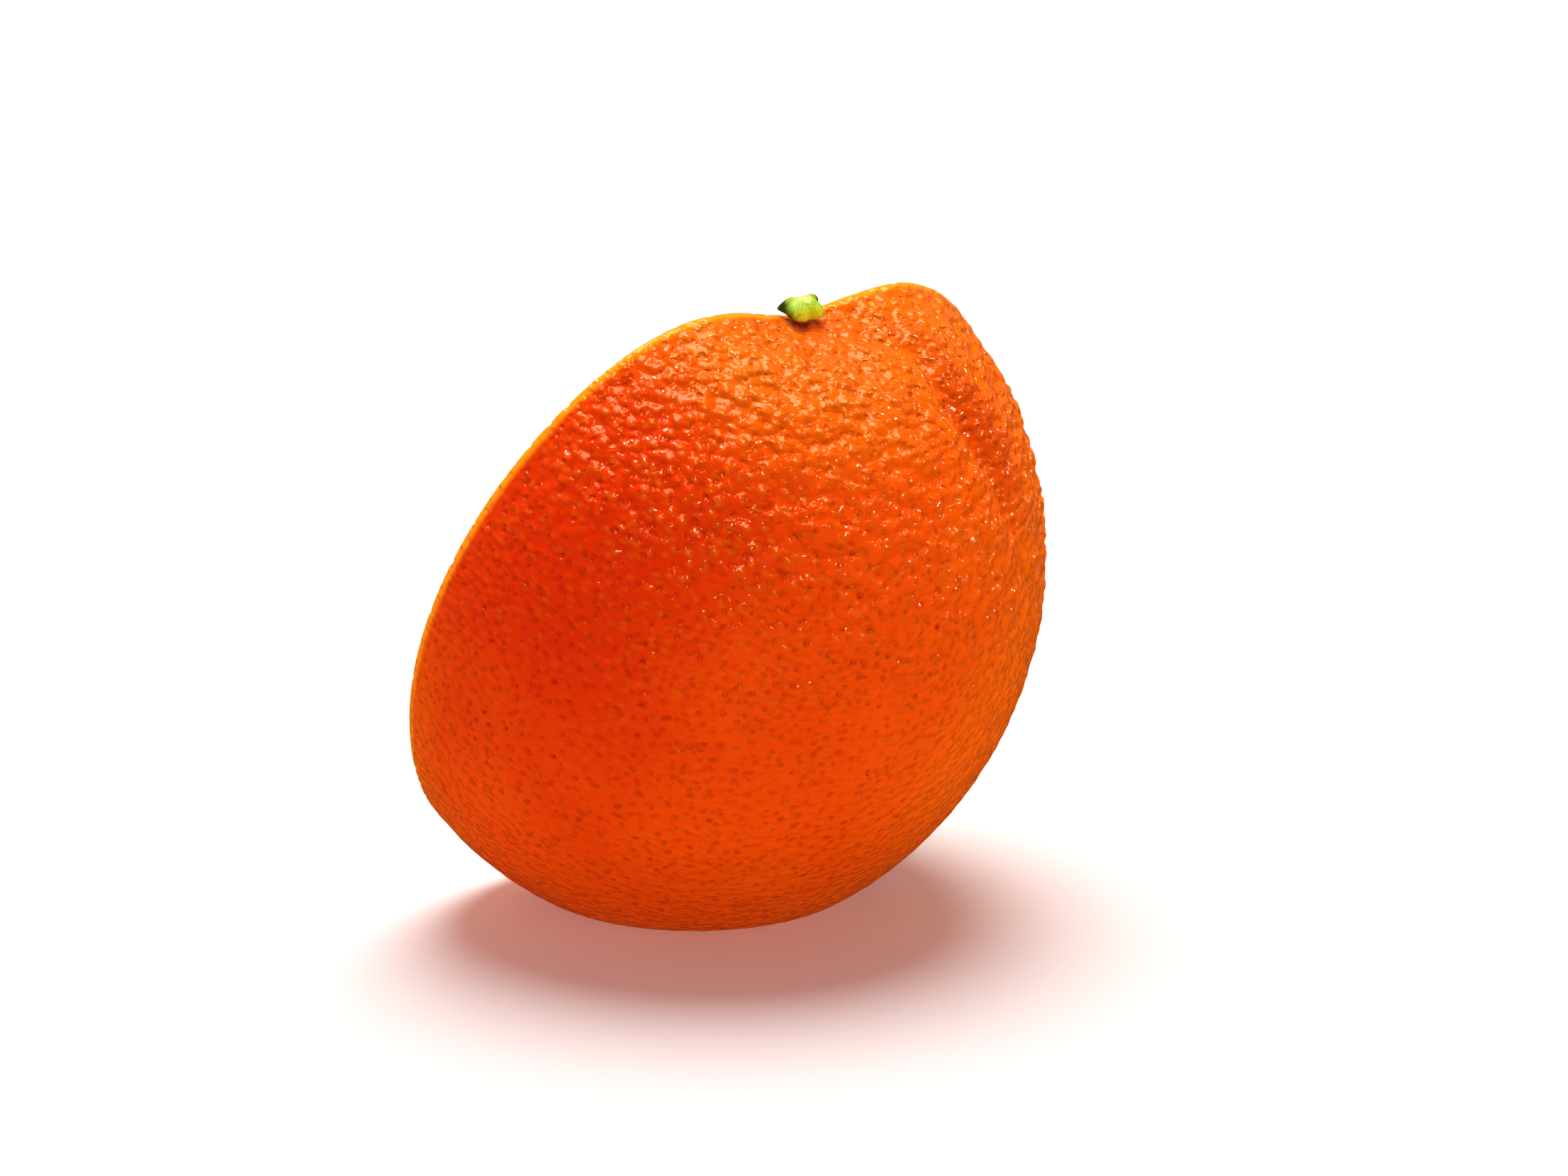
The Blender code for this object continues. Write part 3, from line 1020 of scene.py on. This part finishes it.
# %% [markdown]
# ## Floor, light and camera
#
# The setting is plain: a white floor under a white sky. A wide soft sun, high and a little
# behind, gives the shadow, which falls forward. Three narrow lamps, behind, above and in front,
# are there for the glints on the pebbles, and a fourth lights the right edge. Three wide fills
# do what a white room does for the sides and the underside.
#
# The lamps light only the fruit, and the floor doesn't block them, so the floor shows one soft
# shadow and not many. The floor glows a little, to keep that shadow pale. It isn't seen in the
# gloss of the skin, which would wash the orange out.

# %% Floor and light
FLOOR_WHITE = (0.92, 0.92, 0.92)
FLOOR_GLOW = 0.12
FLOOR_REACH = 4.0
SKY_TINT = (1.0, 0.72, 0.62)
LAMP_DISTANCE = 0.6
FILL_WARMTH = (1.0, 0.72, 0.50)


def floor():
    """A flat floor that the gloss of the fruit doesn't show."""
    mesh = bpy.data.meshes.new("floor")
    far = FLOOR_REACH
    mesh.from_pydata([(-far, -far, 0), (far, -far, 0), (far, far, 0), (-far, far, 0)], [],
                     [(0, 1, 2, 3)])
    finish, *_ = new_finish("white_floor", base_color=(*FLOOR_WHITE, 1.0), roughness=0.7,
                            emission_color=(1.0, 1.0, 1.0, 1.0), emission_strength=FLOOR_GLOW)
    mesh.materials.append(finish)
    made = bpy.data.objects.new("floor", mesh)
    made.visible_glossy = False
    bpy.context.scene.collection.objects.link(made)
    return made


def way_to(azimuth, elevation):
    """The direction from the fruit to a light or camera; azimuth 0 is in front of the rind."""
    a, e = math.radians(azimuth), math.radians(elevation)
    return Vector((math.sin(a) * math.cos(e), -math.cos(a) * math.cos(e), math.sin(e)))


def lamp(name, kind, azimuth, elevation, energy, **settings):
    """A light that looks at the fruit; an area lamp lights only the fruit."""
    data = bpy.data.lights.new(name, kind)
    data.energy = energy
    for setting, value in settings.items():
        setattr(data, setting, value)
    made = bpy.data.objects.new(name, data)
    away = way_to(azimuth, elevation)
    made.location = CENTRE + away * LAMP_DISTANCE
    made.rotation_euler = away.to_track_quat("Z", "Y").to_euler()
    bpy.context.scene.collection.objects.link(made)
    made.visible_glossy = not name.endswith("fill")
    if kind == "AREA":
        made.light_linking.receiver_collection = off_the_floor
        made.light_linking.blocker_collection = off_the_floor


def sky(brightness_behind, brightness_in_front, seen):
    """A white room that is brighter behind the fruit; what the camera sees of it is white."""
    world = bpy.data.worlds.new("white_room")
    bpy.context.scene.world = world
    world.use_nodes = True
    tree = world.node_tree
    glow = tree.nodes["Background"]
    way = add_node(tree, "ShaderNodeTexCoord").outputs["Generated"]
    _, behind, up = parts(tree, way)
    strength = between(tree, behind, -0.6, 0.6, brightness_in_front, brightness_behind)
    strength = times(tree, strength, between(tree, up, -0.3, 0.1, 0.1, 1.0))
    camera_ray = add_node(tree, "ShaderNodeLightPath").outputs["Is Camera Ray"]
    mixed = add_node(tree, "ShaderNodeMix")
    tree.links.new(camera_ray, mixed.inputs[0])
    tree.links.new(strength, mixed.inputs[2])
    mixed.inputs[3].default_value = seen
    tree.links.new(mixed.outputs[0], glow.inputs["Strength"])
    tint = colour_mix(tree, camera_ray, SKY_TINT, (1.0, 1.0, 1.0))
    tree.links.new(tint, glow.inputs["Color"])


off_the_floor = bpy.data.collections.new("off_the_floor")
off_the_floor.objects.link(floor())
off_the_floor.collection_objects[0].light_linking.link_state = "EXCLUDE"
lamp("window", "SUN", 140, 80, 2.2, angle=math.radians(38))
lamp("back_light", "AREA", -155, 58, 1.0, shape="RECTANGLE", size=0.09, size_y=0.02)
lamp("high_light", "AREA", -60, 70, 0.90, shape="RECTANGLE", size=0.09, size_y=0.02)
lamp("glint_light", "AREA", -30, 44, 0.62, shape="RECTANGLE", size=0.08, size_y=0.015)
lamp("rim_light", "AREA", 58, 34, 0.65, size=0.03)
lamp("low_fill", "AREA", -40, -32, 0.85, size=0.4)
for side, azimuth in (("left", -118), ("right", 38)):
    lamp(f"{side}_fill", "AREA", azimuth, 6, 0.4, size=0.5, color=FILL_WARMTH)
sky(0.32, 0.11, 1.0)
bpy.context.scene.view_settings.view_transform = "Standard"
bpy.context.scene.view_settings.look = "Medium High Contrast"

# %% Camera
CAMERA_AZIMUTH, CAMERA_ELEVATION = -40.1, 12
CAMERA_DISTANCE = 0.3644
FOCAL_SHARE = 2.034358  # focal length as a share of the picture's width
OFF_CENTRE = (-0.0488, 0.0124)  # where the fruit's centre sits, as shares of the width


def camera():
    data = bpy.data.cameras.new("camera")
    data.sensor_width = 36.0
    data.lens = FOCAL_SHARE * data.sensor_width
    made = bpy.data.objects.new("camera", data)
    back = way_to(CAMERA_AZIMUTH, CAMERA_ELEVATION)
    right = Vector((0.0, 0.0, 1.0)).cross(back).normalized()
    up = back.cross(right)
    made.location = CENTRE + back * CAMERA_DISTANCE
    facing = Matrix((right, up, back)).transposed()
    turn = Matrix.Rotation(-math.atan(OFF_CENTRE[0] / FOCAL_SHARE), 3, "Y")
    tilt = Matrix.Rotation(math.atan(OFF_CENTRE[1] / FOCAL_SHARE), 3, "X")
    made.rotation_euler = (facing @ (turn.inverted() @ tilt.inverted())).to_euler()
    data.clip_start, data.clip_end = 0.01, 20
    bpy.context.scene.collection.objects.link(made)
    bpy.context.scene.camera = made


camera()
